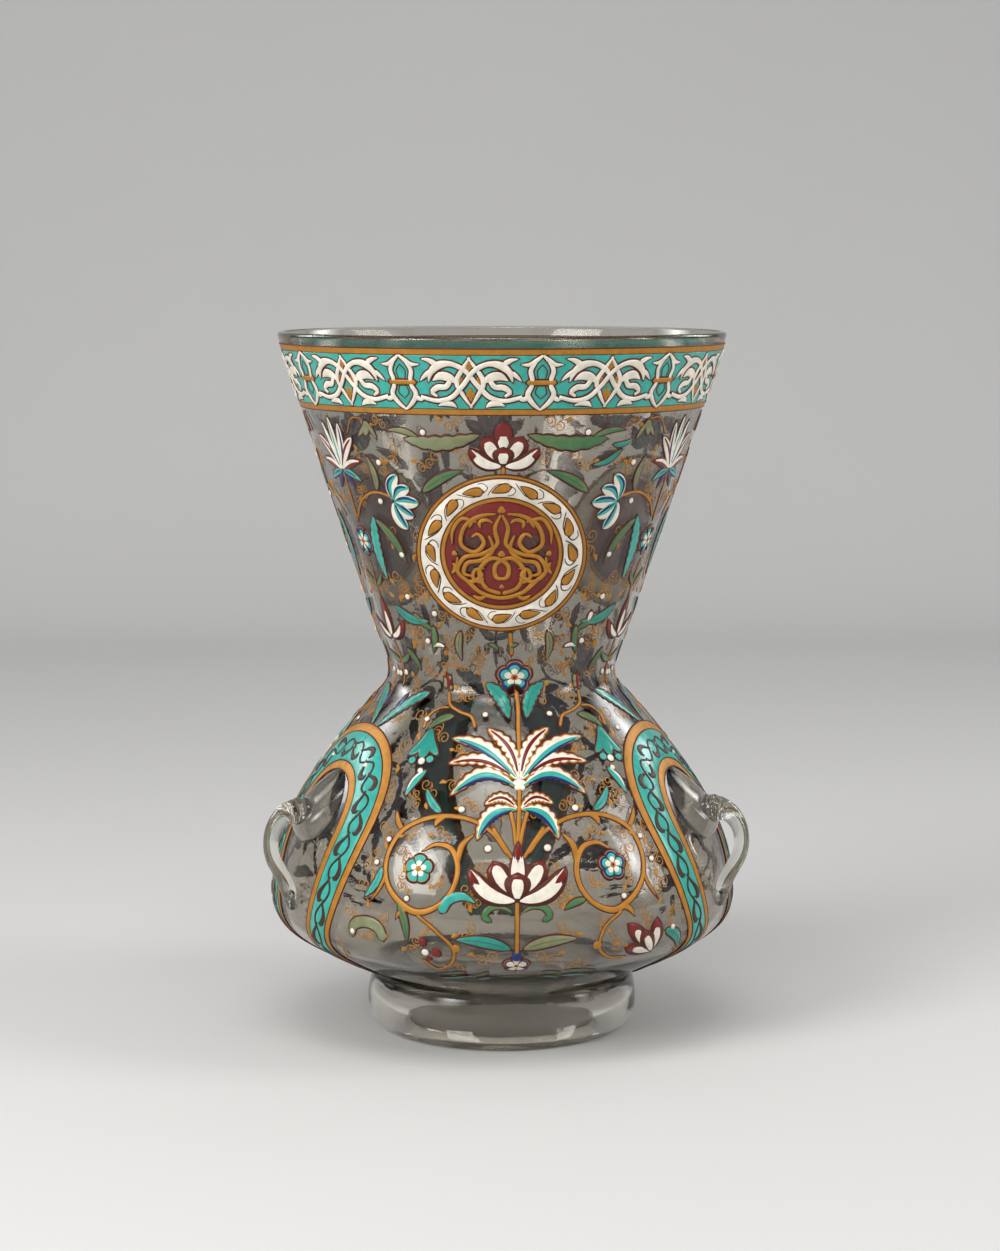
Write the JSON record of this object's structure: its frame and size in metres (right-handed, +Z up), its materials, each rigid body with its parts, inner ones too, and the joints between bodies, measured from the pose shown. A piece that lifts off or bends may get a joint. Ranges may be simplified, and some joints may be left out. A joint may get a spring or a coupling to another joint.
{
  "type": "mosque lamp",
  "caption": "Clear glass mosque lamp with a flared neck, round belly and foot ring, applied suspension loops, and enamelled and gilded floral bands, medallions and drop panels.",
  "frame": {"origin": "centre of the foot ring's ground flat, on the lamp's axis", "axes": "+Z up along the vessel's axis of revolution; -Y towards the front panel, between the two front handles; the third handle is at +Y"},
  "size_m": [0.225, 0.2345, 0.33],
  "materials": {
    "clear_glass": "gloss",
    "gilding": "satin",
    "turquoise_enamel": "gloss",
    "white_enamel": "gloss",
    "red_enamel": "gloss",
    "blue_enamel": "gloss"
  },
  "bodies": {
    "root": {"band_gold_bars": "gilding", "band_gold_line_lower": "gilding", "band_gold_line_upper": "gilding", "band_turquoise_ground": "turquoise_enamel", "band_white_palmettes": "white_enamel", "drop_back_gold_inner": "gilding", "drop_back_gold_outer": "gilding", "drop_back_turquoise": "turquoise_enamel", "drop_left_gold_inner": "gilding", "drop_left_gold_outer": "gilding", "drop_left_turquoise": "turquoise_enamel", "drop_right_gold_inner": "gilding", "drop_right_gold_outer": "gilding", "drop_right_turquoise": "turquoise_enamel", "foot_ring": "clear_glass", "glass_body": "clear_glass", "handle_back": "clear_glass", "handle_left": "clear_glass", "handle_right": "clear_glass", "lotus_front": "turquoise_enamel", "lotus_rear_left": "turquoise_enamel", "lotus_rear_right": "turquoise_enamel", "medallion_front_gold_line": "gilding", "medallion_front_gold_rim": "gilding", "medallion_front_red_field": "red_enamel", "medallion_front_white_ring": "white_enamel", "medallion_rear_left_gold_line": "gilding", "medallion_rear_left_gold_rim": "gilding", "medallion_rear_left_red_field": "red_enamel", "medallion_rear_left_white_ring": "white_enamel", "medallion_rear_right_gold_line": "gilding", "medallion_rear_right_gold_rim": "gilding", "medallion_rear_right_red_field": "red_enamel", "medallion_rear_right_white_ring": "white_enamel", "neck_flowers_front": "blue_enamel", "neck_flowers_rear_left": "blue_enamel", "neck_flowers_rear_right": "blue_enamel", "neck_rosette_back": "blue_enamel", "neck_rosette_left": "blue_enamel", "neck_rosette_right": "blue_enamel", "palmette_front": "turquoise_enamel", "palmette_rear_left": "turquoise_enamel", "palmette_rear_right": "turquoise_enamel", "rosette_low_front": "blue_enamel", "rosette_low_rear_left": "blue_enamel", "rosette_low_rear_right": "blue_enamel", "rosette_waist_front": "blue_enamel", "rosette_waist_rear_left": "blue_enamel", "rosette_waist_rear_right": "blue_enamel", "scrolls_front": "gilding", "scrolls_rear_left": "gilding", "scrolls_rear_right": "gilding", "stem_front": "gilding", "stem_rear_left": "gilding", "stem_rear_right": "gilding"}
  },
  "joints": []
}
